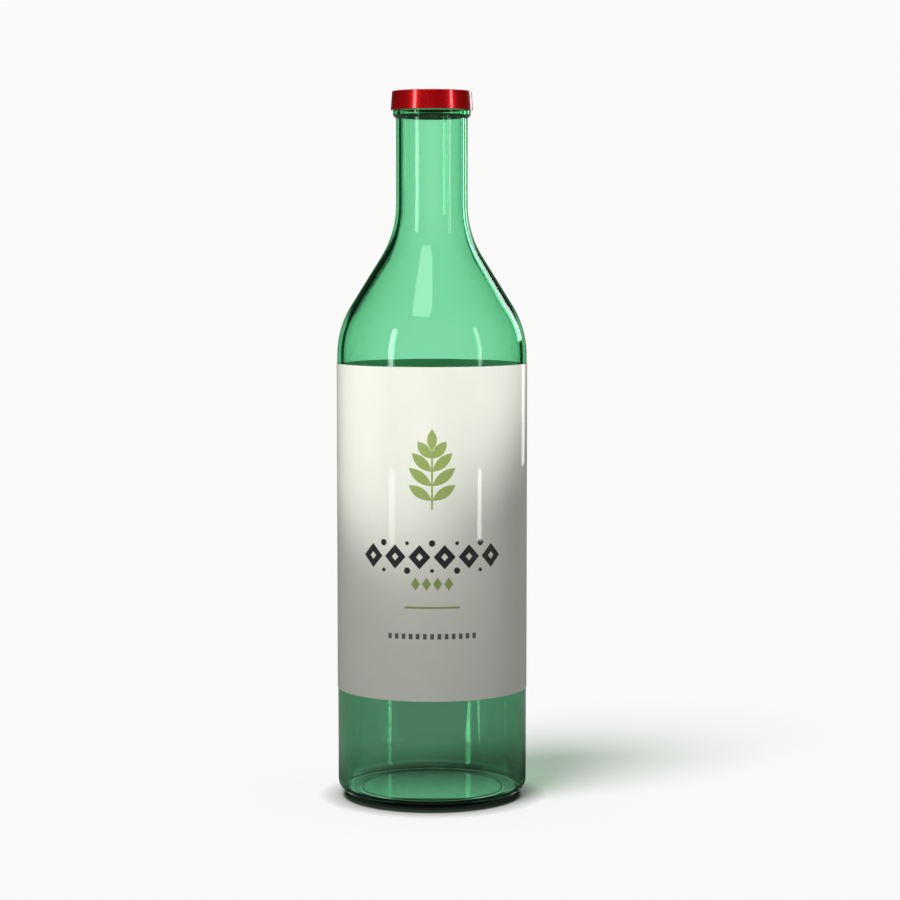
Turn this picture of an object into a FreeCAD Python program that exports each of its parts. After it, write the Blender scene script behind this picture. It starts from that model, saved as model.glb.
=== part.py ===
"""Oil and vinegar bottle: green glass, with a red metal cap and a wrap-round paper label.

Millimetres, +Z up. The origin is the centre of the foot, on the surface the bottle stands on.
Every piece is turned about the Z axis, so each outline is drawn in the XZ plane, where x is the
distance from the axis and y is the height.
"""
import FreeCAD, Part
import math
import os

import Sketcher

DRIVING_SIZES = {
    # The glass, outside.
    "body_radius": 37.5,
    "body_height": 175.0,       # where the shoulder starts
    "heel_radius": 5.0,         # the arc that turns the side wall in to the underside
    "foot_setback": 4.5,        # from the heel in to the disc the bottle stands on
    "foot_height": 1.1,
    "shoulder_round": 37.65,    # the outward arc above the side wall
    "shoulder_sweep": 39.0,     # the inward arc that runs into the neck
    "shoulder_angle": 31.9,     # degrees from upright of the straight slope between the arcs
    "neck_radius": 14.1,
    "neck_length": 33.6,        # the straight neck, up to the bead
    "bead_depth": 1.2,          # how far the ring under the cap stands out, on a 45 degree underside
    "bead_band": 1.9,           # its upright side
    "mouth_height": 6.3,        # the plain mouth above the bead, inside the cap
    "edge_round": 0.4,          # rounding of the glass's sharp edges
    # The glass, inside.
    "wall": 2.4,
    "base_thickness": 1.9,      # glass above the underside
    "inner_heel": 2.6,          # rounding between the inside wall and floor
    # The cap.
    "skirt_top": 1.45,          # thickness of the cap's side at the top
    "skirt_foot": 2.02,         # and at the foot
    "lid_thickness": 1.2,
    "cap_clearance": 0.1,       # between the mouth and the cap's bore
    "cap_round": 0.35,          # rounding of the cap's top edge
    # The label.
    "label_thickness": 0.3,
    "label_foot_gap": 42.9,     # from the table to the label
    "label_shoulder_gap": 3.0,  # straight glass left above the label
}

UPRIGHT = 90.0                  # degrees
BORE_OVERRUN = 1.0              # the cavity's cut runs this far past the rim
SAME_PLACE = 0.001              # how near an edge lies to where it is looked for
ORIGIN = (-1, 1)                # a sketch's own origin, as its constraints name it
ACROSS_AXIS = -1                # and its own axes
UP_AXIS = -2
MM3_PER_CM3 = 1000

CAP_BORE = "Sizes.neck_radius + Sizes.cap_clearance"


def sheet_of_sizes(document):
    """The spreadsheet of driving dimensions, one alias each."""
    sheet = document.addObject("Spreadsheet::Sheet", "Sizes")
    for row, (alias, value) in enumerate(DRIVING_SIZES.items(), start=1):
        sheet.set(f"A{row}", alias)
        sheet.set(f"B{row}", str(value))
        sheet.setAlias(f"B{row}", alias)
    document.recompute()
    return sheet


class Outline:
    """A closed outline in a body's XZ plane, drawn edge by edge anticlockwise from (x, y)."""

    def __init__(self, body, name, x, y):
        self.sketch = body.newObject("Sketcher::SketchObject", name)
        plane = next(f for f in body.Origin.OriginFeatures if f.Role == "XZ_Plane")
        self.sketch.AttachmentSupport = (plane, [""])
        self.sketch.MapMode = "FlatFace"
        self.here = FreeCAD.Vector(x, y, 0)
        self.last_end = None

    def join(self, start, smooth):
        """Tie a new edge's start to the end of the edge before it."""
        if self.last_end:
            kind = "Tangent" if smooth else "Coincident"
            self.sketch.addConstraint(Sketcher.Constraint(kind, *self.last_end, *start))
        else:
            self.first_start = start

    def line(self, x, y, direction="", smooth=False):
        """A straight edge to (x, y), held Horizontal or Vertical if that is named."""
        end = FreeCAD.Vector(x, y, 0)
        edge = self.sketch.addGeometry(Part.LineSegment(self.here, end), False)
        if direction:
            self.sketch.addConstraint(Sketcher.Constraint(direction, edge))
        self.join((edge, 1), smooth)
        self.here = end
        self.last_end = (edge, 2)
        return edge

    def arc(self, x, y, centre_x, centre_y, radius_formula):
        """An arc to (x, y) about a centre, the short way round, smooth with the edge before it."""
        centre = FreeCAD.Vector(centre_x, centre_y, 0)
        end = FreeCAD.Vector(x, y, 0)
        radius = (end - centre).Length
        turned = [math.atan2(p.y - centre_y, p.x - centre_x) for p in (self.here, end)]
        anticlockwise = (self.here - centre).cross(end - centre).z > 0
        circle = Part.Circle(centre, FreeCAD.Vector(0, 0, 1), radius)
        arc = Part.ArcOfCircle(circle, *(turned if anticlockwise else reversed(turned)))
        edge = self.sketch.addGeometry(arc, False)
        start, finish = (1, 2) if anticlockwise else (2, 1)
        self.join((edge, start), smooth=True)
        self.bind("Radius", radius, radius_formula, edge)
        self.here = end
        self.last_end = (edge, finish)

    def close(self):
        """Tie the last edge's end to the first edge's start."""
        self.sketch.addConstraint(Sketcher.Constraint("Coincident", *self.last_end, *self.first_start))

    def bind(self, kind, value, formula, *places):
        """A dimension that follows a formula of the sheet's sizes."""
        index = self.sketch.addConstraint(Sketcher.Constraint(kind, *places, value))
        self.sketch.renameConstraint(index, f"size_{index}")
        self.sketch.setExpression(f"Constraints.size_{index}", formula)

    def radius_at(self, formula, edge, point):
        """Set an edge end's distance from the axis."""
        self.bind("DistanceX", self.place(edge, point).x, formula, *ORIGIN, edge, point)

    def height_at(self, formula, edge, point):
        """Set an edge end's height."""
        self.bind("DistanceY", self.place(edge, point).y, formula, *ORIGIN, edge, point)

    def width_of(self, formula, edge):
        """Set how much further from the axis an edge's second end is than its first."""
        width = self.place(edge, 2).x - self.place(edge, 1).x
        self.bind("DistanceX", width, formula, edge, 1, edge, 2)

    def rise_of(self, formula, edge):
        """Set how much higher an edge's upper end is than its lower end."""
        lower, upper = sorted((1, 2), key=lambda point: self.place(edge, point).y)
        rise = self.place(edge, upper).y - self.place(edge, lower).y
        self.bind("DistanceY", rise, formula, edge, lower, edge, upper)

    def place(self, edge, point):
        return self.sketch.getPoint(edge, point)

    def report_height(self, name, edge, point):
        """Name an edge end's height as a result, so that other pieces can follow it."""
        height = self.place(edge, point).y
        index = self.sketch.addConstraint(Sketcher.Constraint("DistanceY", *ORIGIN, edge, point, height))
        self.sketch.renameConstraint(index, name)
        self.sketch.setDriving(index, False)


def shoulder_and_neck(outline, size, inset, inset_formula, neck_end, neck_formula):
    """The S-shaped shoulder and the straight neck, set in from the outer surface by a wall.

    The outline is at the top of the upright side when this starts. The two arcs keep their
    centres whatever the inset is, so the wall is even.
    """
    turn = math.radians(size.shoulder_angle)
    arcs = size.shoulder_round + size.shoulder_sweep
    spread = size.body_radius - size.neck_radius
    slope = (spread - arcs * (1 - math.cos(turn))) / math.sin(turn)
    neck_foot = size.body_height + arcs * math.sin(turn) + slope * math.cos(turn)

    low_centre = size.body_radius - size.shoulder_round
    low_radius = size.shoulder_round - inset
    high_centre = size.neck_radius + size.shoulder_sweep
    high_radius = size.shoulder_sweep + inset
    across, up = math.cos(turn), math.sin(turn)

    outline.arc(low_centre + low_radius * across, size.body_height + low_radius * up,
                low_centre, size.body_height, f"Sizes.shoulder_round - {inset_formula}")
    slanted = outline.line(high_centre - high_radius * across, neck_foot - high_radius * up, smooth=True)
    slant_angle = f"({UPRIGHT} + Sizes.shoulder_angle) * 1 deg"
    outline.bind("Angle", math.radians(UPRIGHT) + turn, slant_angle, slanted)
    outline.arc(size.neck_radius - inset, neck_foot, high_centre, neck_foot,
                f"Sizes.shoulder_sweep + {inset_formula}")
    neck = outline.line(size.neck_radius - inset, neck_foot + neck_end, "Vertical", smooth=True)
    outline.radius_at(f"Sizes.neck_radius - {inset_formula}", neck, 2)
    outline.rise_of(neck_formula, neck)


def glass_outside(body, size):
    """The bottle's outer outline, from the foot up to the rim."""
    underside = size.foot_height
    heel_foot = size.body_radius - size.heel_radius
    heel_top = underside + size.heel_radius
    foot_radius = heel_foot - size.foot_setback

    outline = Outline(body, "Outside", 0, 0)
    foot = outline.line(foot_radius, 0, "Horizontal")
    outline.sketch.addConstraint(Sketcher.Constraint("Coincident", foot, 1, *ORIGIN))
    foot_side = outline.line(foot_radius, underside, "Vertical")
    outline.rise_of("Sizes.foot_height", foot_side)
    ledge = outline.line(heel_foot, underside, "Horizontal")
    outline.width_of("Sizes.foot_setback", ledge)
    outline.arc(size.body_radius, heel_top, heel_foot, heel_top, "Sizes.heel_radius")
    side = outline.line(size.body_radius, size.body_height, "Vertical", smooth=True)
    outline.radius_at("Sizes.body_radius", side, 2)
    outline.height_at("Sizes.body_height", side, 2)

    shoulder_and_neck(outline, size, 0, "0", size.neck_length, "Sizes.neck_length")

    bead_radius = size.neck_radius + size.bead_depth
    bead_low = outline.here.y + size.bead_depth
    bead_top = bead_low + size.bead_band
    under_bead = outline.line(bead_radius, bead_low)
    outline.radius_at("Sizes.neck_radius + Sizes.bead_depth", under_bead, 2)
    outline.rise_of("Sizes.bead_depth", under_bead)
    bead = outline.line(bead_radius, bead_top, "Vertical")
    outline.rise_of("Sizes.bead_band", bead)
    outline.report_height("bead_top", bead, 2)
    bead_ledge = outline.line(size.neck_radius, bead_top, "Horizontal")
    outline.radius_at("Sizes.neck_radius", bead_ledge, 2)
    mouth = outline.line(size.neck_radius, bead_top + size.mouth_height, "Vertical")
    outline.rise_of("Sizes.mouth_height", mouth)
    outline.line(0, outline.here.y, "Horizontal")
    outline.line(0, 0, "Vertical")
    outline.close()

    sharp_edges = [
        (foot_radius, 0),
        (bead_radius, bead_low),
        (bead_radius, bead_top),
        (size.neck_radius, bead_top + size.mouth_height),
    ]
    return outline.sketch, sharp_edges


def glass_inside(body, size):
    """The outline of the space inside the bottle, from the floor up past the rim."""
    floor = size.foot_height + size.base_thickness
    inside = size.body_radius - size.wall
    flat = inside - size.inner_heel

    outline = Outline(body, "Inside", 0, floor)
    bottom = outline.line(flat, floor, "Horizontal")
    outline.height_at("Sizes.foot_height + Sizes.base_thickness", bottom, 1)
    outline.arc(inside, floor + size.inner_heel, flat, floor + size.inner_heel, "Sizes.inner_heel")
    side = outline.line(inside, size.body_height, "Vertical", smooth=True)
    outline.radius_at("Sizes.body_radius - Sizes.wall", side, 2)
    outline.height_at("Sizes.body_height", side, 2)

    above_neck = size.bead_depth + size.bead_band + size.mouth_height + BORE_OVERRUN
    above_formula = f"Sizes.bead_depth + Sizes.bead_band + Sizes.mouth_height + {BORE_OVERRUN}"
    shoulder_and_neck(outline, size, size.wall, "Sizes.wall", size.neck_length + above_neck,
                      f"Sizes.neck_length + {above_formula}")

    outline.line(0, outline.here.y, "Horizontal")
    axis = outline.line(0, floor, "Vertical")
    outline.sketch.addConstraint(Sketcher.Constraint("PointOnObject", axis, 2, UP_AXIS))
    outline.close()
    return outline.sketch


def turned(body, sketch, feature="Revolution"):
    """A full turn of an outline about the axis, added or, as a Groove, cut away."""
    shape = body.newObject(f"PartDesign::{feature}", sketch.Name + feature)
    shape.Profile = sketch
    shape.ReferenceAxis = (sketch, ["V_Axis"])
    shape.Angle = 360
    return shape


def rounded(body, base, circles, radius_formula):
    """Round the circular edges of a feature that lie at the given radii and heights."""
    names = []
    for index, edge in enumerate(base.Shape.Edges, start=1):
        curve = edge.Curve
        if not isinstance(curve, Part.Circle):
            continue
        for radius, height in circles:
            if abs(curve.Radius - radius) < SAME_PLACE and abs(curve.Center.z - height) < SAME_PLACE:
                names.append(f"Edge{index}")
    if len(names) != len(circles):
        raise ValueError(f"{base.Label}: found {len(names)} of {len(circles)} edges to round")
    fillet = body.newObject("PartDesign::Fillet", base.Name + "Rounded")
    fillet.Base = (base, names)
    fillet.setExpression("Radius", radius_formula)
    return fillet


def new_body(document, label):
    body = document.addObject("PartDesign::Body", label.capitalize())
    body.Label = label
    return body


def make_bottle(document, size):
    """The glass: the outside turned solid, its edges rounded, then the inside cut away."""
    body = new_body(document, "bottle")
    sketch, sharp_edges = glass_outside(body, size)
    solid = turned(body, sketch)
    document.recompute()
    smooth = rounded(body, solid, sharp_edges, "Sizes.edge_round")
    document.recompute()
    cavity = turned(body, glass_inside(body, size), "Groove")
    document.recompute()
    if cavity.Shape.Volume > smooth.Shape.Volume - cavity.AddSubShape.Volume / 2:
        raise ValueError("the cavity was not cut")
    return body, sketch


def make_cap(document, size, bottle_outline):
    """The lid: it rests on the rim, and its skirt's foot on the bead."""
    body = new_body(document, "cap")
    bore = size.neck_radius + size.cap_clearance
    top_radius = bore + size.skirt_top
    ceiling = size.mouth_height
    top = ceiling + size.lid_thickness

    outline = Outline(body, "Lid", 0, ceiling)
    roof = outline.line(bore, ceiling, "Horizontal")
    outline.height_at("Sizes.mouth_height", roof, 1)
    skirt = outline.line(bore, 0, "Vertical")
    outline.radius_at(CAP_BORE, skirt, 1)
    foot = outline.line(bore + size.skirt_foot, 0, "Horizontal")
    outline.sketch.addConstraint(Sketcher.Constraint("PointOnObject", foot, 1, ACROSS_AXIS))
    outline.width_of("Sizes.skirt_foot", foot)
    flank = outline.line(top_radius, top)
    outline.radius_at(f"{CAP_BORE} + Sizes.skirt_top", flank, 2)
    outline.rise_of("Sizes.mouth_height + Sizes.lid_thickness", flank)
    outline.line(0, top, "Horizontal")
    axis = outline.line(0, ceiling, "Vertical")
    outline.sketch.addConstraint(Sketcher.Constraint("PointOnObject", axis, 2, UP_AXIS))
    outline.close()

    lid = turned(body, outline.sketch)
    document.recompute()
    rounded(body, lid, [(top_radius, top)], "Sizes.cap_round")
    body.setExpression("Placement.Base.z", f"{bottle_outline.Name}.Constraints.bead_top")
    return body


def make_label(document, size):
    """The paper: one closed sleeve that lies on the upright glass."""
    body = new_body(document, "label")
    outer = size.body_radius + size.label_thickness
    low = size.label_foot_gap
    high = size.body_height - size.label_shoulder_gap

    outline = Outline(body, "Sleeve", size.body_radius, low)
    foot = outline.line(outer, low, "Horizontal")
    outline.radius_at("Sizes.body_radius", foot, 1)
    outline.height_at("Sizes.label_foot_gap", foot, 1)
    outline.radius_at("Sizes.body_radius + Sizes.label_thickness", foot, 2)
    outline.line(outer, high, "Vertical")
    top = outline.line(size.body_radius, high, "Horizontal")
    outline.height_at("Sizes.body_height - Sizes.label_shoulder_gap", top, 2)
    outline.line(size.body_radius, low, "Vertical")
    outline.close()
    turned(body, outline.sketch)
    return body


def check(document, pieces):
    """Stop unless every object was computed, every outline is fixed and every piece is one sound solid."""
    for item in document.Objects:
        if {"Invalid", "Error"} & set(item.State):
            raise ValueError(f"{item.Label} failed: {item.State}")
        if item.isDerivedFrom("Sketcher::SketchObject") and not item.FullyConstrained:
            raise ValueError(f"{item.Label} is not fully constrained")
    for piece in pieces:
        shape = piece.Shape
        if shape.isNull() or not shape.isValid() or len(shape.Solids) != 1:
            raise ValueError(f"{piece.Label} is not one valid solid")


def export(pieces):
    os.makedirs("parts", exist_ok=True)
    for piece in pieces:
        piece.Shape.exportStep(os.path.join("parts", f"{piece.Label}.step"))
        box = piece.Shape.optimalBoundingBox()
        print(f"{piece.Label}: {piece.Shape.Volume / MM3_PER_CM3:.2f} cm3, z {box.ZMin:.2f} to {box.ZMax:.2f},"
              f" {box.XLength:.2f} wide")


document = FreeCAD.newDocument("OilBottle")
sizes = sheet_of_sizes(document)
bottle, bottle_outline = make_bottle(document, sizes)
cap = make_cap(document, sizes, bottle_outline)
label = make_label(document, sizes)
document.recompute()
check(document, [bottle, cap, label])
export([bottle, cap, label])
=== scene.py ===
from math import ceil, cos, pi, radians, sin, tan

import bpy
from mathutils import Matrix, Vector


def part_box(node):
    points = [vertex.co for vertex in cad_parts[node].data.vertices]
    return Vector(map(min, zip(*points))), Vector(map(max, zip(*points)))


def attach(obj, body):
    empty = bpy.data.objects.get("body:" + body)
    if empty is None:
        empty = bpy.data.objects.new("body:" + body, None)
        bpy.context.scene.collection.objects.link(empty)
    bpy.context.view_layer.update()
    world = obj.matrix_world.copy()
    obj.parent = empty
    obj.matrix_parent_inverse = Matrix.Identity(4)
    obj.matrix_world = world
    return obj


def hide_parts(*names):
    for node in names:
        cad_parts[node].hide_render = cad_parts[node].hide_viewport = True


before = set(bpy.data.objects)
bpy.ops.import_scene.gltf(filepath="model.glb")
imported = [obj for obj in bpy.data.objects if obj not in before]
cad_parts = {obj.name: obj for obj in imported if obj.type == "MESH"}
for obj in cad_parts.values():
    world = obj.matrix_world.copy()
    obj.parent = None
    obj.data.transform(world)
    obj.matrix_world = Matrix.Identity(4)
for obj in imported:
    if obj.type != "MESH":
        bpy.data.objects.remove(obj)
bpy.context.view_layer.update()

MM = 0.001                      # every size below is in metres

# ---- sizes, from model.glb where it gives them ------------------------------------------------

_, glass_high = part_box("bottle")
cap_low, cap_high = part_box("cap")
label_low, label_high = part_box("label")

CLEARANCE = 0.02 * MM           # keeps faces that touch from lying in one another

BODY_RADIUS = glass_high.x
RIM = glass_high.z
LABEL_RADIUS = label_high.x - CLEARANCE
CAP_FOOT = cap_low.z            # the skirt's foot, on the bead
CAP_TOP = cap_high.z

FOOT_RADIUS = 28.0 * MM
FOOT_HEIGHT = 1.1 * MM
HEEL_ROUND = 5.0 * MM
SHOULDER_FOOT = 175.0 * MM
SHOULDER_ROUND = 37.65 * MM
SHOULDER_SWEEP = 39.0 * MM
SHOULDER_SLOPE = radians(31.9)  # from upright
NECK_RADIUS = 14.1 * MM
BEAD_DEPTH = 1.2 * MM
BEAD_BAND = 1.9 * MM
EDGE_ROUND = 0.4 * MM
WALL = 2.4 * MM
FLOOR_HEIGHT = 3.0 * MM         # the inside floor
INNER_HEEL = 2.6 * MM

CAP_BORE = 14.2 * MM
CAP_TOP_RADIUS = 15.65 * MM
CAP_FOOT_RADIUS = 16.22 * MM
CAP_LID = 1.2 * MM
CAP_ROUND = 0.35 * MM
CAP_HEM = 0.25 * MM

FLAP_THICKNESS = 0.06 * MM
FLAP_SINK = 0.01 * MM           # how far the flap is pressed into the sleeve
LABEL_INSIDE = BODY_RADIUS + CLEARANCE
LABEL_OUTSIDE = LABEL_RADIUS - FLAP_THICKNESS
LABEL_OVERLAP = 8.0 * MM        # one end of the paper lies over the other at the back
PAPER_EDGE = 0.05 * MM

TURN_STEPS = 192
FLAP_STEPS = 12
ARC_STEP = radians(3)
SMOOTH_BELOW = radians(32)      # sharper edges stay crisp
MERGE_WITHIN = MM / 500


# ---- turning a shape about the upright axis --------------------------------------------------

def outline_points(corners):
    """The points of an outline of (radius, height, rounding) corners, round ones as arcs."""
    points = []
    last = len(corners) - 1
    for index, (x, z, rounding) in enumerate(corners):
        corner = Vector((x, z))
        if not rounding or index in (0, last):
            points.append(corner)
            continue
        before = (Vector(corners[index - 1][:2]) - corner).normalized()
        after = (Vector(corners[index + 1][:2]) - corner).normalized()
        turn = pi - before.angle(after)
        side = 1 if before.cross(after) < 0 else -1
        centre = corner + (before + after).normalized() * rounding / cos(turn / 2)
        start = corner + before * rounding * tan(turn / 2)
        steps = max(2, ceil(turn / ARC_STEP))
        for step in range(steps + 1):
            arm = start - centre
            arm.rotate(Matrix.Rotation(side * turn * step / steps, 2))
            points.append(centre + arm)
    return points


def turned(name, corners, angle=2 * pi, start_at=0.0, steps=TURN_STEPS):
    """A piece turned about Z from an outline, smooth, with its faces outwards."""
    points = [Vector((x, 0, z)) for x, z in outline_points(corners)]
    bpy.ops.object.select_all(action="DESELECT")
    bpy.ops.mesh.primitive_plane_add(size=MM, location=(0, 0, 0))
    piece = bpy.context.object
    piece.name = piece.data.name = name
    bpy.ops.object.mode_set(mode="EDIT")
    bpy.ops.mesh.merge(type="CENTER")
    bpy.ops.transform.translate(value=points[0])
    for here, there in zip(points, points[1:]):
        bpy.ops.mesh.extrude_region_move(TRANSFORM_OT_translate={"value": there - here})
    bpy.ops.mesh.select_all(action="SELECT")
    if start_at:
        bpy.ops.transform.rotate(value=start_at, orient_axis="Z", center_override=(0, 0, 0))
    bpy.ops.mesh.spin(steps=steps, angle=angle, center=(0, 0, 0), axis=(0, 0, 1))
    bpy.ops.mesh.select_all(action="SELECT")
    bpy.ops.mesh.remove_doubles(threshold=MERGE_WITHIN)
    bpy.ops.mesh.normals_make_consistent(inside=False)
    bpy.ops.object.mode_set(mode="OBJECT")
    bpy.ops.object.shade_smooth_by_angle(angle=SMOOTH_BELOW)
    return piece


def glass_corners():
    """The bottle's outline: up the outside from the foot, over the rim and down the inside."""
    rise = (BODY_RADIUS - NECK_RADIUS) / tan(SHOULDER_SLOPE)
    shoulder = SHOULDER_FOOT + SHOULDER_ROUND * tan(SHOULDER_SLOPE / 2)
    inner_drop = WALL * tan(SHOULDER_SLOPE / 2)
    bead_top = CAP_FOOT
    bead_low = bead_top - BEAD_BAND
    bead = NECK_RADIUS + BEAD_DEPTH
    outside = [
        (0, 0, 0),
        (FOOT_RADIUS, 0, EDGE_ROUND),
        (FOOT_RADIUS, FOOT_HEIGHT, 0),
        (BODY_RADIUS, FOOT_HEIGHT, HEEL_ROUND),
        (BODY_RADIUS, shoulder, SHOULDER_ROUND),
        (NECK_RADIUS, shoulder + rise, SHOULDER_SWEEP),
        (NECK_RADIUS, bead_low - BEAD_DEPTH, 0),
        (bead, bead_low, EDGE_ROUND),
        (bead, bead_top, EDGE_ROUND),
        (NECK_RADIUS, bead_top, 0),
        (NECK_RADIUS, RIM, EDGE_ROUND),
    ]
    inside = [
        (NECK_RADIUS - WALL, RIM, EDGE_ROUND),
        (NECK_RADIUS - WALL, shoulder + rise - inner_drop, SHOULDER_SWEEP + WALL),
        (BODY_RADIUS - WALL, shoulder - inner_drop, SHOULDER_ROUND - WALL),
        (BODY_RADIUS - WALL, FLOOR_HEIGHT, INNER_HEEL),
        (0, FLOOR_HEIGHT, 0),
    ]
    return outside + inside


def cap_corners():
    """The cap's outline: down its bore, out along the skirt's hem and up over the lid."""
    ceiling = CAP_TOP - CAP_LID
    return [
        (0, ceiling, 0),
        (CAP_BORE, ceiling, 0),
        (CAP_BORE, CAP_FOOT, 0),
        (CAP_FOOT_RADIUS, CAP_FOOT, CAP_HEM),
        (CAP_TOP_RADIUS, CAP_TOP, CAP_ROUND),
        (0, CAP_TOP, 0),
    ]


def label_corners(inside, outside):
    """The paper's section: a tall thin strip, which starts and ends at its inner lower corner."""
    low, high = label_low.z, label_high.z
    edge = min(PAPER_EDGE, (outside - inside) / 2)
    return [
        (inside, low, 0),
        (outside, low, edge),
        (outside, high, edge),
        (inside, high, 0),
        (inside, low, 0),
    ]


# ---- small helpers for materials ---------------------------------------------------------------

class Recipe:
    """A material being mixed: it adds nodes and joins them."""

    def __init__(self, name, tree=None):
        if tree is None:
            self.material = bpy.data.materials.new(name)
            self.material.use_nodes = True
            tree = self.material.node_tree
            tree.nodes.clear()
        self.tree = tree

    def node(self, kind, *inputs, **settings):
        """Add a node, set its settings, and set or join its inputs in order."""
        made = self.tree.nodes.new(kind)
        for setting, value in settings.items():
            setattr(made, setting, value)
        for socket, value in zip(made.inputs, inputs):
            self.feed(socket, value)
        return made

    def feed(self, socket, value):
        """Join a socket to another node's output, or set it to a plain value."""
        if isinstance(value, bpy.types.NodeSocket):
            self.tree.links.new(value, socket)
        elif value is not None:
            socket.default_value = value

    def maths(self, operation, *inputs, clamp=False):
        return self.node("ShaderNodeMath", *inputs, operation=operation, use_clamp=clamp).outputs[0]

    def times(self, product, *factors):
        for factor in factors:
            product = self.maths("MULTIPLY", product, factor)
        return product

    def less(self, value, taken):
        return self.maths("SUBTRACT", value, taken)

    def length(self, x, y):
        squares = self.maths("POWER", x, 2), self.maths("POWER", y, 2)
        return self.maths("SQRT", self.maths("ADD", *squares))

    def mixed(self, share, first, second):
        """A colour between two."""
        made = self.node("ShaderNodeMix", data_type="RGBA")
        for name, value in (("Factor_Float", share), ("A_Color", first), ("B_Color", second)):
            socket = next(s for s in made.inputs if s.identifier == name)
            self.feed(socket, value)
        return next(s for s in made.outputs if s.identifier == "Result_Color")

    def scaled(self, colour, share):
        """A colour made lighter or darker."""
        made = self.node("ShaderNodeVectorMath", colour, operation="SCALE")
        self.feed(made.inputs["Scale"], share)
        return made.outputs[0]

    def ranged(self, value, low, high, to_low=0.0, to_high=1.0, smooth=True):
        """A value carried from one range to another, and kept inside it."""
        made = self.node("ShaderNodeMapRange", value, low, high, to_low, to_high)
        made.interpolation_type = "SMOOTHSTEP" if smooth else "LINEAR"
        return made.outputs[0]

    def spot(self):
        """Where the point is on the piece."""
        return self.node("ShaderNodeTexCoord").outputs["Object"]

    def place(self):
        """The same as x, y and z."""
        return self.node("ShaderNodeSeparateXYZ", self.spot()).outputs

    def noise(self, spot, scale, detail=2.0):
        """Soft spots, so many to the metre."""
        made = self.node("ShaderNodeTexNoise", spot)
        made.inputs["Scale"].default_value = scale
        made.inputs["Detail"].default_value = detail
        return made.outputs["Fac"]

    def rays(self):
        """What kind of ray is looking."""
        return self.node("ShaderNodeLightPath").outputs

    def surface(self, **sockets):
        """The Principled surface with the named sockets set."""
        made = self.node("ShaderNodeBsdfPrincipled")
        for name, value in sockets.items():
            self.feed(made.inputs[name.replace("_", " ")], value)
        return made.outputs[0]

    def clear(self, *colour):
        """A surface that lets light straight through, tinted if a colour is given."""
        return self.node("ShaderNodeBsdfTransparent", *colour).outputs[0]

    def glow(self, colour, strength):
        return self.node("ShaderNodeEmission", colour, strength).outputs[0]

    def chosen(self, share, first, second):
        """The first surface where the share is 0, the second where it is 1."""
        return self.node("ShaderNodeMixShader", share, first, second).outputs[0]

    def finish(self, surface, volume=None):
        self.node("ShaderNodeOutputMaterial", surface, volume)
        return self.material


def grey(level):
    return (level, level, level, 1)


NOISE_RANGE = (0.3, 0.7)        # where most of a noise lies
CLEAR_COAT = 0.03               # the roughness of a clear coat


# ---- glass -------------------------------------------------------------------------------------

GLASS_IOR = 1.5
GLASS_ABSORB = (0.05, 0.861, 0.45, 1)
GLASS_DENSITY = 300.0
GLASS_SHADE = (0.95, 0.85, 0.86, 1)   # what each face of the glass leaves of a lamp's light
HEEL_SHADE = grey(0.15)               # the same near the foot, where the glass is thick
HEEL_DULL = grey(0.04)                # what the thick glass leaves of the floor's own light
HEEL_TOP = 9.0 * MM
HEEL_START = FOOT_RADIUS - 1 * MM
HEEL_FULL = FOOT_RADIUS + 2 * MM


def green_glass():
    """Clear glass with its green in its depth, and a thick heel that holds light back."""
    mix = Recipe("green_glass")
    x, y, z = mix.place()
    rays = mix.rays()
    clear = mix.surface(Base_Color=grey(1), Roughness=0.0, IOR=GLASS_IOR, Transmission_Weight=1.0)
    heel = mix.times(mix.ranged(z, 0.0, HEEL_TOP, 1.0, 0.0),
                     mix.ranged(mix.length(x, y), HEEL_START, HEEL_FULL))
    shade = mix.clear(mix.mixed(mix.less(1.0, heel), HEEL_SHADE, GLASS_SHADE))
    held_back = mix.times(rays["Is Diffuse Ray"], heel)
    seen = mix.chosen(held_back, clear, mix.clear(HEEL_DULL))
    surface = mix.chosen(rays["Is Shadow Ray"], seen, shade)
    body = mix.node("ShaderNodeVolumeAbsorption", GLASS_ABSORB, GLASS_DENSITY).outputs[0]
    return mix.finish(surface, body)


# ---- lacquered metal ---------------------------------------------------------------------------

LACQUER = (0.59, 0.0036, 0.0055, 1)
LACQUER_FLECK = (0.65, 0.0044, 0.0065, 1)
LACQUER_METAL = 0.7
FLECKS = 3200.0                 # to the metre
FLECK_RANGE = (0.35, 0.65)
FLECK_DULLNESS = 0.02
LACQUER_CLOUDS = 120.0
LACQUER_ROUGHNESS = (0.255, 0.285)


def red_lacquer():
    """Red metal with a fine fleck, a slow change of polish and a clear coat."""
    mix = Recipe("red_lacquer")
    spot = mix.spot()
    fleck = mix.ranged(mix.noise(spot, FLECKS), *FLECK_RANGE)
    cloud = mix.ranged(mix.noise(spot, LACQUER_CLOUDS), *NOISE_RANGE, *LACQUER_ROUGHNESS)
    rough = mix.maths("ADD", cloud, mix.times(fleck, FLECK_DULLNESS))
    surface = mix.surface(Base_Color=mix.mixed(fleck, LACQUER, LACQUER_FLECK),
                          Metallic=LACQUER_METAL, Roughness=rough,
                          Coat_Weight=1.0, Coat_Roughness=CLEAR_COAT)
    return mix.finish(surface)


# ---- printed paper -----------------------------------------------------------------------------

PAPER = (0.90, 0.915, 0.815)
SHADED_PAPER_BACK = (0.90, 0.50, 0.72, 1)    # the face that lies on the glass: the paper's back, darker in green and blue as painted shade for the dim inside of the bottle
PAPER_SHADE = (0.55, 0.76, 0.62, 1)   # the light that each face of the thin paper lets through
PAPER_ROUGHNESS = 0.5
PAPER_GLOSS = 0.8
GRAIN = 2600.0                  # to the metre
GRAIN_DETAIL = 3.0
GRAIN_SHADE = (0.975, 1.0)
GRAIN_BUMP = 0.08
GRAIN_DEPTH = 0.02 * MM
PAPER_CLOUDS = 90.0
PAPER_CLOUD_SHADE = (-0.012, 0.0)

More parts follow.
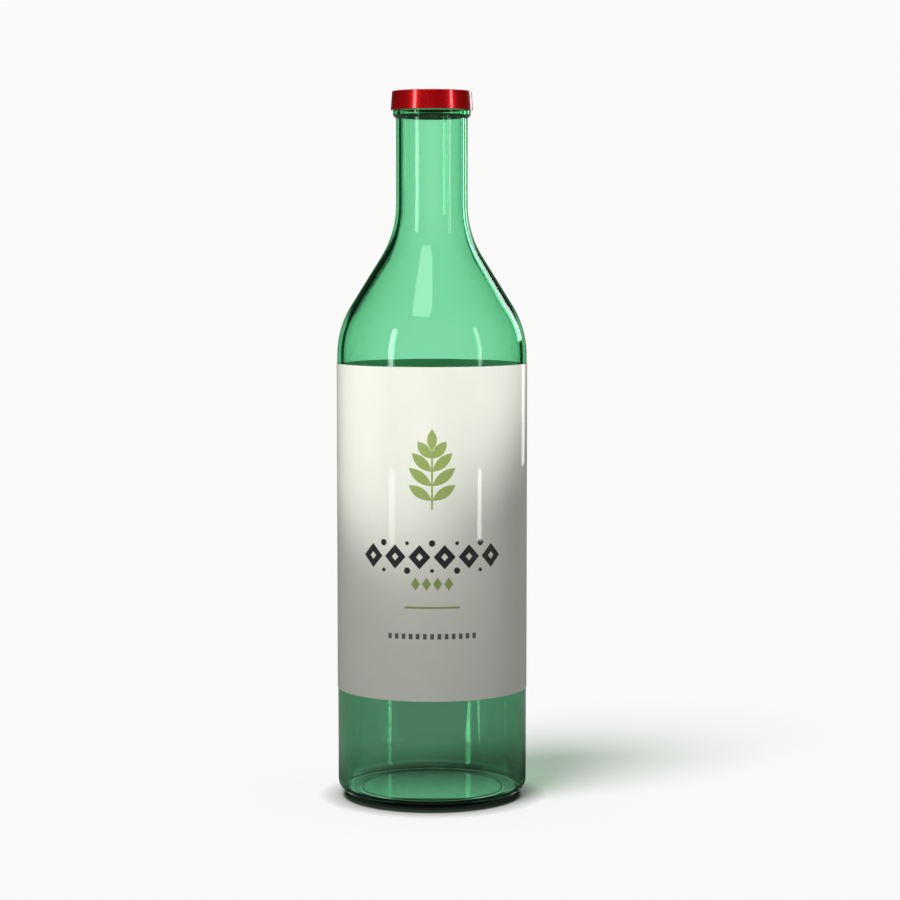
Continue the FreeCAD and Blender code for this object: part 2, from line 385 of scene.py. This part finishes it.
OLIVE = (0.335, 0.434, 0.120, 1)
CHARCOAL = (0.013, 0.016, 0.015, 1)
DARK_GREY = (0.11, 0.115, 0.11, 1)

# The print is measured in millimetres: along the label from its front, and up from the foot. A half
# is half a width or half a height.
INK_EDGE = 0.12                 # how softly the ink ends
SPRIG_UP = 132.4
STEM_MIDDLE = -3.0              # from the middle of the sprig, as are the leaves' feet
STEM_HALVES = (0.38, 12.0)
LEAF_ASIDE = 0.2
LEAF_HALF = 2.0
LEAF_PAIRS = ((-11.5, 10.6, 33), (-6.0, 11.2, 38), (-0.5, 10.4, 43), (4.6, 8.4, 50))
TIP_LEAF = (7.6, 8.2, 1.9)      # its foot, its length and its half width
BORDER_UP = 99.0
BORDER_COUNT = 6
BORDER_PITCH = 9.75
BORDER_HALVES = (4.3, 4.7)
BORDER_HOLE_HALVES = (1.35, 1.5)
DOT_RISE = 5.3
BIG_DOT = 1.25
SMALL_DOT = 0.75
LOZENGES_UP = 88.6
LOZENGE_COUNT = 4
LOZENGE_PITCH = 4.3
LOZENGE_HALVES = (1.75, 2.6)
RULE_UP = 79.4
RULE_HALVES = (10.85, 0.385)
BEADS_UP = 68.2
BEAD_COUNT = 13
BEAD_PITCH = 2.8
BEAD_HALVES = (0.72, 1.05)


class Print(Recipe):
    """Shapes printed on the paper, each a mask that is 1 inside it."""

    def inside(self, value, limit, soft=INK_EDGE):
        return self.ranged(value, limit - soft, limit + soft, 1.0, 0.0)

    def moved(self, u, v, u_to, v_to, degrees_turned=0.0):
        """The place seen from another spot, turned."""
        du, dv = self.less(u, u_to), self.less(v, v_to)
        if not degrees_turned:
            return du, dv
        c, s = cos(radians(degrees_turned)), sin(radians(degrees_turned))
        along = self.maths("ADD", self.times(du, c), self.times(dv, s))
        across = self.less(self.times(dv, c), self.times(du, s))
        return along, across

    def bar(self, u, v, half_u, half_v):
        far = self.maths("MAXIMUM", self.less(self.maths("ABSOLUTE", u), half_u),
                         self.less(self.maths("ABSOLUTE", v), half_v))
        return self.inside(far, 0.0)

    def dot(self, u, v, radius):
        return self.inside(self.length(u, v), radius)

    def lozenge(self, u, v, half_u, half_v):
        far = self.maths("ADD", self.maths("DIVIDE", self.maths("ABSOLUTE", u), half_u),
                         self.maths("DIVIDE", self.maths("ABSOLUTE", v), half_v))
        return self.inside(far, 1.0, INK_EDGE / min(half_u, half_v))

    def leaf(self, u, v, length, half):
        """A pointed leaf that starts at the place and runs along u."""
        middle = self.less(self.maths("DIVIDE", u, length / 2), 1.0)
        bow = self.times(half, self.less(1.0, self.maths("POWER", middle, 2)))
        return self.inside(self.less(self.maths("ABSOLUTE", v), bow), 0.0)

    def row(self, u, count, pitch):
        """One cell of a row, and where the row is."""
        shift = pitch / 2 if count % 2 == 0 else 0.0
        cell = self.maths("WRAP", self.maths("ADD", u, shift), pitch / 2, -pitch / 2)
        return cell, self.maths("LESS_THAN", self.maths("ABSOLUTE", u), count * pitch / 2)

    def any_of(self, *masks):
        joined = masks[0]
        for mask in masks[1:]:
            joined = self.maths("MAXIMUM", joined, mask)
        return joined


def sprig(ink, u, v):
    """An olive sprig: a stem, pairs of leaves and one at the tip."""
    side = ink.maths("ABSOLUTE", u)
    parts = [ink.bar(*ink.moved(u, v, 0, STEM_MIDDLE), *STEM_HALVES)]
    for foot, length, angle in LEAF_PAIRS:
        parts.append(ink.leaf(*ink.moved(side, v, LEAF_ASIDE, foot, angle), length, LEAF_HALF))
    foot, length, half = TIP_LEAF
    parts.append(ink.leaf(*ink.moved(u, v, 0, foot, 90), length, half))
    return ink.any_of(*parts)


def border(ink, u, v):
    """A broad border of open lozenges, with a big dot and a small one between each pair."""
    cell, here = ink.row(u, BORDER_COUNT, BORDER_PITCH)
    lozenges = ink.times(ink.lozenge(cell, v, *BORDER_HALVES), here)
    holes = ink.lozenge(cell, v, *BORDER_HOLE_HALVES)
    between, inner = ink.row(u, BORDER_COUNT - 1, BORDER_PITCH)
    flip = ink.maths("SIGN", ink.maths("COSINE", ink.times(u, pi / BORDER_PITCH)))
    rise = ink.times(DOT_RISE, flip)
    big = ink.dot(between, ink.less(v, rise), BIG_DOT)
    small = ink.dot(between, ink.maths("ADD", v, rise), SMALL_DOT)
    dots = ink.times(ink.any_of(big, small), inner)
    return ink.any_of(ink.maths("SUBTRACT", lozenges, holes, clamp=True), dots)


def small_lozenges(ink, u, v):
    cell, here = ink.row(u, LOZENGE_COUNT, LOZENGE_PITCH)
    return ink.times(ink.lozenge(cell, v, *LOZENGE_HALVES), here)


def beads(ink, u, v):
    cell, here = ink.row(u, BEAD_COUNT, BEAD_PITCH)
    return ink.times(ink.bar(cell, v, *BEAD_HALVES), here)


def printed_paper():
    """Matt paper with a grain, a thin gloss and its print in front."""
    mix = Print("printed_paper")
    x, y, z = mix.place()
    spot = mix.spot()
    grain = mix.noise(spot, GRAIN, GRAIN_DETAIL)
    cloud = mix.noise(spot, PAPER_CLOUDS)
    shade = mix.maths("ADD", mix.ranged(grain, *NOISE_RANGE, *GRAIN_SHADE),
                      mix.ranged(cloud, *NOISE_RANGE, *PAPER_CLOUD_SHADE))
    colour = mix.scaled(PAPER, shade)

    u = mix.times(mix.maths("ARCTAN2", x, mix.times(y, -1.0)), LABEL_RADIUS / MM)
    v = mix.times(z, 1 / MM)
    olive = mix.any_of(
        sprig(mix, u, mix.less(v, SPRIG_UP)),
        small_lozenges(mix, u, mix.less(v, LOZENGES_UP)),
        mix.bar(u, mix.less(v, RULE_UP), *RULE_HALVES),
    )
    colour = mix.mixed(olive, colour, OLIVE)
    colour = mix.mixed(border(mix, u, mix.less(v, BORDER_UP)), colour, CHARCOAL)
    colour = mix.mixed(beads(mix, u, mix.less(v, BEADS_UP)), colour, DARK_GREY)
    # The face on the glass takes the back colour, with its painted shade.
    back = mix.maths("LESS_THAN", mix.length(x, y), (LABEL_INSIDE + LABEL_OUTSIDE) / 2)
    colour = mix.mixed(back, colour, SHADED_PAPER_BACK)

    bump = mix.node("ShaderNodeBump", GRAIN_BUMP)
    bump.inputs["Distance"].default_value = GRAIN_DEPTH
    mix.feed(bump.inputs["Height"], grain)
    surface = mix.surface(Base_Color=colour, Roughness=PAPER_ROUGHNESS, Coat_Weight=PAPER_GLOSS,
                          Coat_Roughness=CLEAR_COAT, Normal=bump.outputs[0])
    thin = mix.clear(PAPER_SHADE)
    return mix.finish(mix.chosen(mix.rays()["Is Shadow Ray"], surface, thin))


# ---- the pieces --------------------------------------------------------------------------------

def dress(piece, material, node):
    piece.data.materials.clear()
    piece.data.materials.append(material)
    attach(piece, "root")
    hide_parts(node)


glass = turned("glass_bottle", glass_corners())
dress(glass, green_glass(), "bottle")

cap = turned("screw_cap", cap_corners())
dress(cap, red_lacquer(), "cap")

paper = printed_paper()
sleeve = turned("paper_label", label_corners(LABEL_INSIDE, LABEL_OUTSIDE))
dress(sleeve, paper, "label")
flap_turn = LABEL_OVERLAP / LABEL_RADIUS
flap = turned("label_overlap", label_corners(LABEL_OUTSIDE - FLAP_SINK, LABEL_RADIUS),
              angle=flap_turn, start_at=-pi / 2 - flap_turn / 2, steps=FLAP_STEPS)
dress(flap, paper, "label")

# ---- floor -------------------------------------------------------------------------------------

WHITE = (0.956, 0.956, 0.947, 1)
FLOOR_RADIUS = 1.6
FLOOR_SIDES = 128
FLOOR_FADE = (0.35, 0.75)       # where the floor runs into the white behind it
FLOOR_GLOW = 0.28               # its own share of its white
FLOOR_WHITE = 0.52              # and what it gives back of the lamps
DIM_GLOW = 0.02                 # the same two in the glass and the cap, where the floor is grey
DIM_GREY = 0.172
BACK_SHADE = 0.34               # painted shade: what is left of that grey close behind the glass
BACK_SHADE_FROM = 40 * MM
BACK_SHADE_TO = 110 * MM

SHADE_MIDDLE = -5.0 * MM        # the middle of the painted contact shadow where the glass meets the floor, a little to the front
BAND_EDGE = 34.3 * MM           # its dark green band of painted shadow
BAND_BLUR = 2 * MM
BAND_LEVEL = 0.1
PAINTED_BAND_TINT = (0.66, 0.93, 0.70, 1)
SHADE_EDGE = 45.5 * MM          # its soft rest of painted shadow
SHADE_NEAR = 0.45
FOOT_SHADE = 0.1                # what the painted shade leaves under the foot
FOOT_SHADE_RING = (FOOT_RADIUS + 2 * MM, FOOT_RADIUS + 3 * MM)

PAINTED_UNDER_LIGHT = (1.0, 0.71, 0.84, 1)     # painted light under the base, which shows through it
UNDER_RUN = (-22 * MM, 36 * MM)       # from its bright front to its dark back
UNDER_FRONT = 1.3
UNDER_BACK = 0.0
UNDER_BLUR = 2 * MM
CRESCENT_RUN = (-24.5 * MM, -22.5 * MM)   # a painted darker crescent at the very front
CRESCENT = 0.26
OUTER_RING = (28.5 * MM, 30 * MM)     # a painted darker ring outside the foot
OUTER_LEVEL = 0.72
FOOT_LINE_RING = (29.3 * MM, 30.3 * MM)   # a painted dark line round the front of the foot
FOOT_LINE_RUN = (-14 * MM, -6 * MM)
HEEL_LINE_RING = (34.4 * MM, 35.4 * MM)   # and one round the heel, also painted
HEEL_LINE_RUN = (4 * MM, 10 * MM)
LINE_LEVEL = 0.03

# Light that the glass mirrors passes through the floor at its front left and front right, where
# it reaches the low ends of the strips.
OPEN_FROM = 2 * MM
OPEN_SLANT = 0.72

SIDE_WHITE = 0.55               # the white round the sides, seen through the glass
SIDE_FROM = 0.5                 # where the floor runs into it
SIDE_FULL = 0.9


def painted_contact_shade(mix, reach, out):
    """Painted contact shadow: the share of light left where the glass meets the floor, and the
    floor's colour there.
    """
    band = mix.ranged(reach, BAND_EDGE, BAND_EDGE + BAND_BLUR)
    soft = mix.ranged(reach, BAND_EDGE, SHADE_EDGE, SHADE_NEAR, 1.0, smooth=False)
    left = mix.times(soft, mix.ranged(band, 0.0, 1.0, BAND_LEVEL, 1.0, smooth=False),
                     mix.ranged(out, *FOOT_SHADE_RING, FOOT_SHADE, 1.0))
    return left, mix.mixed(band, PAINTED_BAND_TINT, WHITE)


def painted_light_under_base(mix, y, out):
    """Painted light under the glass base: bright in front, with a painted dark foot and heel line.
    """
    level = mix.times(
        mix.ranged(y, *UNDER_RUN, UNDER_FRONT, UNDER_BACK, smooth=False),
        mix.ranged(y, *CRESCENT_RUN, CRESCENT, 1.0),
        mix.ranged(out, *OUTER_RING, 1.0, OUTER_LEVEL),
    )
    foot_line = mix.times(mix.ranged(out, *FOOT_LINE_RING), mix.ranged(y, *FOOT_LINE_RUN, 1.0, 0.0))
    heel_line = mix.times(mix.ranged(out, *HEEL_LINE_RING), mix.ranged(y, *HEEL_LINE_RUN, 1.0, 0.0))
    lines = mix.maths("MAXIMUM", foot_line, heel_line)
    level = mix.times(level, mix.ranged(lines, 0.0, 1.0, 1.0, LINE_LEVEL, smooth=False))
    return mix.glow(PAINTED_UNDER_LIGHT, level)


def floor_coat(mix, colour, glow, white, share):
    """A matt floor that also glows a little, both by the same share, which carries the painted
    shade.
    """
    matt = mix.scaled(colour, mix.times(white, share))
    diffuse = mix.node("ShaderNodeBsdfDiffuse", matt).outputs[0]
    own = mix.glow(colour, mix.times(glow, share))
    return mix.node("ShaderNodeAddShader", diffuse, own).outputs[0]


def floor_material():
    """White to the camera, and grey in the glass and the cap, with painted shade round the foot and
    painted light under the base.
    """
    mix = Recipe("studio_floor")
    rays = mix.rays()
    x, y, z = mix.place()
    out = mix.length(x, y)
    reach = mix.length(x, mix.less(y, SHADE_MIDDLE))
    left, tint = painted_contact_shade(mix, reach, out)
    seen = mix.chosen(mix.ranged(out, *FLOOR_FADE),
                      floor_coat(mix, tint, FLOOR_GLOW, FLOOR_WHITE, left), mix.glow(WHITE, 1.0))

    # painted shade on the grey floor close behind the glass
    behind = mix.ranged(out, BACK_SHADE_FROM, BACK_SHADE_TO, BACK_SHADE, 1.0, smooth=False)
    dim = floor_coat(mix, tint, DIM_GLOW, DIM_GREY, behind)
    # the glass base shows the painted light beneath it
    beneath = mix.ranged(out, BODY_RADIUS, BODY_RADIUS + UNDER_BLUR, 1.0, 0.0)
    dim = mix.chosen(beneath, dim, painted_light_under_base(mix, y, out))
    through = rays["Is Transmission Ray"]
    far = mix.times(through, mix.ranged(out, SIDE_FROM, SIDE_FULL))
    dim = mix.chosen(far, dim, mix.glow(WHITE, SIDE_WHITE))

    slant = mix.less(OPEN_FROM, mix.times(OPEN_SLANT, mix.maths("ABSOLUTE", x)))
    in_front = mix.times(mix.maths("LESS_THAN", y, 0.0), mix.maths("GREATER_THAN", y, slant),
                         mix.maths("GREATER_THAN", out, BODY_RADIUS))
    mirrored = mix.maths("GREATER_THAN", rays["Glossy Depth"], 0.5)
    left_out = mix.times(through, in_front, mirrored)
    other = mix.chosen(left_out, dim, mix.clear())
    return mix.finish(mix.chosen(rays["Is Camera Ray"], other, seen))


def make_floor():
    bpy.ops.object.select_all(action="DESELECT")
    bpy.ops.mesh.primitive_circle_add(vertices=FLOOR_SIDES, radius=FLOOR_RADIUS, fill_type="NGON")
    floor = bpy.context.object
    floor.name = "studio_floor"
    floor.data.transform(Matrix.Translation((0, 0, -CLEARANCE)))
    floor.data.materials.append(floor_material())
    return floor


# ---- sky ---------------------------------------------------------------------------------------

SOFT = 0.20                     # the soft light from all round
DARK = 0.012                    # the unlit studio that polished things mirror
MIRRORED_BACKDROP = 0.12        # how much of the backdrop a mirror image keeps
BACKDROP_HALF = radians(27)     # half the white backdrop's width, seen from the bottle
BACKDROP_BLUR = 0.02
BACKDROP_TOP = 0.12             # the slope up to its top edge
BACKDROP_TOP_BLUR = 0.03
ABOVE_BACKDROP = 0.03           # what is left of its white above that
BACKDROP_FALL = 0.12            # how much darker it is away from its middle
BACKDROP_FALL_END = 0.16
MIRRORED_TOP = 0.045            # the top edge for light that the glass has also mirrored
MIRRORED_TOP_TURN = (0.20, 0.30)      # in the middle of the backdrop only
GAP_END = radians(48)           # where the dark gap beside the backdrop ends
GAP_BLUR = 0.06
LEAST_RUN = 0.01                # keeps the slope straight up a number


def make_sky():
    """White to the camera and soft light, but in glass and gloss a backdrop in a dark studio."""
    world = bpy.data.worlds.new("studio_sky")
    bpy.context.scene.world = world
    world.use_nodes = True
    world.node_tree.nodes.clear()
    mix = Recipe("", world.node_tree)
    rays = mix.rays()
    through = rays["Is Transmission Ray"]
    x, y, z = mix.place()
    turn = mix.maths("ABSOLUTE", mix.maths("ARCTAN2", x, y))

    level_run = mix.maths("MAXIMUM", mix.length(x, y), LEAST_RUN)
    slope = mix.maths("DIVIDE", z, level_run)
    mirrored = mix.maths("GREATER_THAN", rays["Glossy Depth"], 0.5)
    lowered = mix.times(mirrored, BACKDROP_TOP - MIRRORED_TOP,
                        mix.ranged(turn, *MIRRORED_TOP_TURN, 1.0, 0.0), through)
    slope = mix.maths("ADD", slope, lowered)

    backdrop = mix.times(
        mix.ranged(turn, BACKDROP_HALF - BACKDROP_BLUR, BACKDROP_HALF + BACKDROP_BLUR, 1.0, 0.0),
        mix.ranged(slope, BACKDROP_TOP - BACKDROP_TOP_BLUR, BACKDROP_TOP + BACKDROP_TOP_BLUR,
                   1.0, ABOVE_BACKDROP),
        mix.ranged(turn, 0.0, BACKDROP_FALL_END, 1.0, 1.0 - BACKDROP_FALL),
    )
    sides = mix.ranged(turn, GAP_END - GAP_BLUR, GAP_END + GAP_BLUR, 0.0, SIDE_WHITE)
    studio = mix.maths("ADD", backdrop, mix.times(sides, through))
    studio = mix.times(studio, mix.maths("MAXIMUM", MIRRORED_BACKDROP, through))
    studio = mix.maths("ADD", studio, DARK)

    shining = mix.maths("MAXIMUM", rays["Is Glossy Ray"], through)
    bounced = mix.maths("GREATER_THAN", rays["Diffuse Depth"], 0.5)
    polished = mix.times(shining, mix.less(1.0, bounced))
    level = mix.maths("ADD", mix.times(studio, polished), mix.times(SOFT, mix.less(1.0, polished)))
    strength = mix.maths("MAXIMUM", level, rays["Is Camera Ray"])
    sky = mix.node("ShaderNodeBackground", WHITE, strength).outputs[0]
    mix.node("ShaderNodeOutputWorld", sky)


# ---- lamps -------------------------------------------------------------------------------------

# Azimuths and rises are in degrees, the azimuth from the front and turning to the right.
SUN_AZIMUTH = -39.3
SUN_RISE = 62.0
SUN_POWER = 4.17
SUN_WIDTH = 24.5

STRIP_DISTANCE = 1.2
STRIP_LOW = -0.45
STRIP_HIGH = 0.87
# Strips and cap panels: name, azimuth, width, radiance
STRIPS = (("left_strip", -50.4, 0.14, 7.2), ("right_strip", 60.0, 0.085, 5.4))
OVERHEAD_PLACE = (-0.207, -0.554, 1.2)
OVERHEAD_TURN = -15.5
OVERHEAD_SIZE = (0.43, 0.6)
OVERHEAD_RADIANCE = 2.6

CAP_PANELS = (
    ("cap_left_strip", -49.5, 0.15, 6.5),
    ("cap_right_strip", 57.0, 0.12, 6.5),
    ("cap_right", 148, 0.22, 3.2),
    ("cap_back", 180, 0.3, 0.5),
)
CAP_PANEL_HIGH = 0.7
CAP_SUNS = (("cap_front", -12, 2.9), ("cap_rear", 170, 2.2))      # name, azimuth, power
CAP_SUN_SLOPE = 0.15
CAP_SUN_WIDTH = 20
CAP_CEILING_HEIGHT = 1.6
CAP_CEILING_SIZE = 2.4
CAP_CEILING_RADIANCE = 0.9

# Panels: name, azimuth, distance, how far moved along itself, width, lowest and highest, radiance
RIM_PANEL = ("rim_panel", 141.0, STRIP_DISTANCE, 0.0, 0.20, 0.26, 0.90, 3.4)
LABEL_PANELS = (
    ("label_left_streak", -50.3, 0.35, -0.022, 0.046, 0.0665, 0.1085, 3.8),
    ("label_right_streak", 57.5, 0.35, 0.010, 0.032, 0.068, 0.1085, 8.6),
    ("label_sheen", -13.0, 0.35, -0.005, 0.140, 0.1195, 0.1405, 0.8),
    ("label_edge", 140.0, 1.2, -0.070, 0.26, 0.035, 0.130, 2.4),
)
# Suns: name, azimuth, rise, power, how wide the sun is
LABEL_SUNS = (
    ("label_front", -31.4, 2.1, 0.77, 25),
    ("label_side", 62.3, -3.6, 0.207, 60),
    ("label_back", 180, 12, 1.3, 40),
)
# Spots: azimuth, rise, distance, where it aims across and up the label's front, half its angle,
# how soft its edge is, strength, how much it is squeezed sideways
LABEL_SPOTS = (
    (-34.45, 3.57, 0.3006, (-0.0073, 0.2394), 30.0, 0.6465, 0.0316, 0.508),
    (-68.99, 3.0, 0.946, (0.0296, 0.1557), 4.753, 0.699, 0.170, 1.0),
    (68.84, 7.38, 0.4027, (-0.0600, 0.2145), 19.716, 0.6155, 0.0797, 1.0),
    (-80.0, 3.0, 0.6, (-0.0300, 0.1600), 7.0, 1.0, 0.093, 1.0),
)
SPOT_SIZE = 0.004


def only_on(lamp, *pieces):
    """Let a lamp light only these pieces."""
    group = bpy.data.collections.new(lamp.name + "_lights")
    for piece in pieces:
        group.objects.link(piece)
    lamp.light_linking.receiver_collection = group


def new_lamp(name, kind, position, target, power, **settings):
    data = bpy.data.lights.new(name, kind)
    data.energy = power
    for setting, value in settings.items():
        setattr(data, setting, value)
    lamp = bpy.data.objects.new(name, data)
    bpy.context.scene.collection.objects.link(lamp)
    lamp.location = position
    aim = Vector(target) - Vector(position)
    lamp.rotation_euler = aim.to_track_quat("-Z", "Y").to_euler()
    lamp.visible_camera = False
    return lamp


def around(azimuth, distance, height):
    """A point seen from the axis at an azimuth in degrees from the front, turning to the right."""
    turn = radians(azimuth)
    return Vector((distance * sin(turn), -distance * cos(turn), height))


def panel(name, azimuth, distance, aside, width, low, high, radiance, *pieces):
    """An upright lamp panel that faces the axis, moved aside along itself, for some pieces only."""
    turn = radians(azimuth)
    middle = around(azimuth, distance, (low + high) / 2)
    moved = middle + aside * Vector((-cos(turn), -sin(turn), 0))
    power = radiance * pi * width * (high - low)
    lamp = new_lamp(name, "AREA", moved, moved - Vector((middle.x, middle.y, 0)), power,
                    shape="RECTANGLE", size=width, size_y=high - low)
    only_on(lamp, *pieces)


def sun(name, azimuth, slope, power, width, *pieces, mirrored=False):
    """A sun at an azimuth and an upward slope, for some pieces only."""
    place = around(azimuth, 1.0, slope)
    lamp = new_lamp(name, "SUN", place, (0, 0, 0), power, angle=radians(width))
    lamp.visible_glossy = mirrored
    only_on(lamp, *pieces)


def light_floor(floor):
    sun("key_sun", SUN_AZIMUTH, tan(radians(SUN_RISE)), SUN_POWER, SUN_WIDTH, floor, mirrored=True)


def light_glass():
    for name, azimuth, width, radiance in STRIPS:
        panel(name, azimuth, STRIP_DISTANCE, 0.0, width, STRIP_LOW, STRIP_HIGH, radiance, glass)
    across, along, height = OVERHEAD_PLACE
    width, depth = OVERHEAD_SIZE
    power = OVERHEAD_RADIANCE * pi * width * depth
    top = new_lamp("overhead_panel", "AREA", OVERHEAD_PLACE, (across, along, 0), power,
                   shape="RECTANGLE", size=width, size_y=depth)
    top.rotation_euler = (0, 0, radians(OVERHEAD_TURN))
    only_on(top, glass, cap)
    panel(*RIM_PANEL, glass)


def light_cap():
    for name, azimuth, width, radiance in CAP_PANELS:
        panel(name, azimuth, 1.0, 0.0, width, 0.0, CAP_PANEL_HIGH, radiance, cap)
    for name, azimuth, power in CAP_SUNS:
        sun(name, azimuth, CAP_SUN_SLOPE, power, CAP_SUN_WIDTH, cap)
    power = CAP_CEILING_RADIANCE * pi * CAP_CEILING_SIZE ** 2
    ceiling = new_lamp("cap_ceiling", "AREA", (0, 0, CAP_CEILING_HEIGHT), (0, 0, 0), power,
                       size=CAP_CEILING_SIZE)
    only_on(ceiling, cap)


def light_label():
    for row in LABEL_PANELS:
        panel(*row, sleeve, flap)
    for name, azimuth, rise, power, width in LABEL_SUNS:
        sun(name, azimuth, tan(radians(rise)), power, width, sleeve, flap)
    for azimuth, rise, distance, (across, up), half, blend, strength, squeeze in LABEL_SPOTS:
        aim = Vector((across, -BODY_RADIUS, up))
        away = around(azimuth, distance * cos(radians(rise)), distance * sin(radians(rise)))
        spot = new_lamp("label_spot", "SPOT", aim + away, aim, 4 * pi ** 2 * strength,
                        spot_size=2 * radians(half), spot_blend=blend, shadow_soft_size=SPOT_SIZE)
        spot.scale = (squeeze, 1, 1)
        spot.visible_glossy = False
        only_on(spot, sleeve, flap)


# ---- camera ------------------------------------------------------------------------------------

CAMERA_LENS = 101.59            # millimetres
CAMERA_PLACE = (0, -1.0059, 0.2163)
CAMERA_DIP = 4.489              # degrees down
CAMERA_TURN = -0.407            # degrees, which puts the bottle a little left of the middle


def make_camera():
    data = bpy.data.cameras.new("camera")
    data.lens = CAMERA_LENS
    camera = bpy.data.objects.new("camera", data)
    bpy.context.scene.collection.objects.link(camera)
    camera.location = CAMERA_PLACE
    camera.rotation_euler = (radians(90 - CAMERA_DIP), 0, radians(CAMERA_TURN))
    bpy.context.scene.camera = camera


floor = make_floor()
make_sky()
light_floor(floor)
light_glass()
light_cap()
light_label()
make_camera()
bpy.context.scene.view_settings.view_transform = "Standard"
